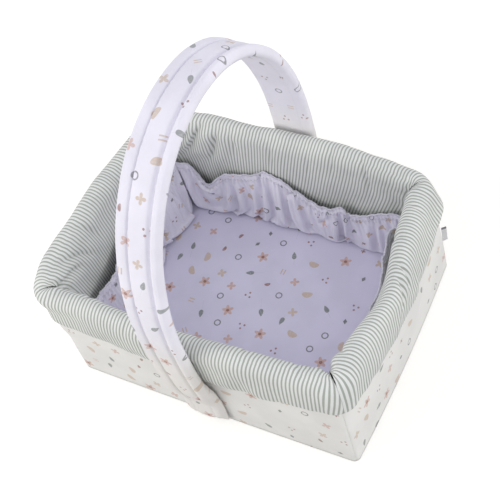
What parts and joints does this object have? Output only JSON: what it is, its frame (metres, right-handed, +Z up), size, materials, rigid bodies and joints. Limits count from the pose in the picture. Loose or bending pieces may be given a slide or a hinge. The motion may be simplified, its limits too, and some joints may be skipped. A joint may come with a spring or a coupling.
{
  "type": "baby toiletry basket",
  "caption": "Board box dressed in printed fabric, with a padded striped cuff, gathered lining, base pad and padded hoop handle that folds down.",
  "frame": {"origin": "on the table, under the middle of the box", "axes": "+X along the box to its right, +Y across it to its back, +Z up"},
  "size_m": [0.3984, 0.3354, 0.415],
  "materials": {
    "printed_cotton": "plain weave, matt",
    "lining_cotton": "plain weave, matt",
    "pad_cotton": "plain weave over padding, matt",
    "sleeve_cotton": "plain weave over padding, matt",
    "striped_cotton": "woven stripe, matt",
    "wadding": "polyester wadding",
    "elastic": "knitted elastic",
    "woven_tape": "woven tape",
    "fibreboard": "bare fibreboard",
    "core_plastic": "moulded, matt",
    "steel": "plated"
  },
  "bodies": {
    "basket": {"back_cuff_cover": "striped_cotton", "back_cuff_wadding": "wadding", "back_lining": "lining_cotton", "back_outer_cover": "printed_cotton", "back_wall_board": "fibreboard", "base_board": "fibreboard", "base_cover": "printed_cotton", "base_pad": "pad_cotton", "frill_elastic": "elastic", "front_cuff_cover": "striped_cotton", "front_cuff_wadding": "wadding", "front_lining": "lining_cotton", "front_outer_cover": "printed_cotton", "front_wall_board": "fibreboard", "left_cuff_cover": "striped_cotton", "left_cuff_wadding": "wadding", "left_lining": "lining_cotton", "left_outer_cover": "printed_cotton", "left_wall_board": "fibreboard", "pivot_backing_washer_back": "steel", "pivot_backing_washer_front": "steel", "pivot_rivet_back": "steel", "pivot_rivet_front": "steel", "pivot_spacer_washer_back": "core_plastic", "pivot_spacer_washer_front": "core_plastic", "right_cuff_cover": "striped_cotton", "right_cuff_wadding": "wadding", "right_lining": "lining_cotton", "right_outer_cover": "printed_cotton", "right_wall_board": "fibreboard", "side_label": "woven_tape"},
    "handle": {"handle_core": "core_plastic", "handle_wadding": "wadding", "handle_sleeve": "sleeve_cotton"}
  },
  "joints": [
    {"name": "handle_fold", "type": "hinge", "parent": "basket", "child": "handle", "pos_m": [0, 0, 0.04], "axis": [0, 1, 0], "range_deg": [-85, 85]}
  ]
}
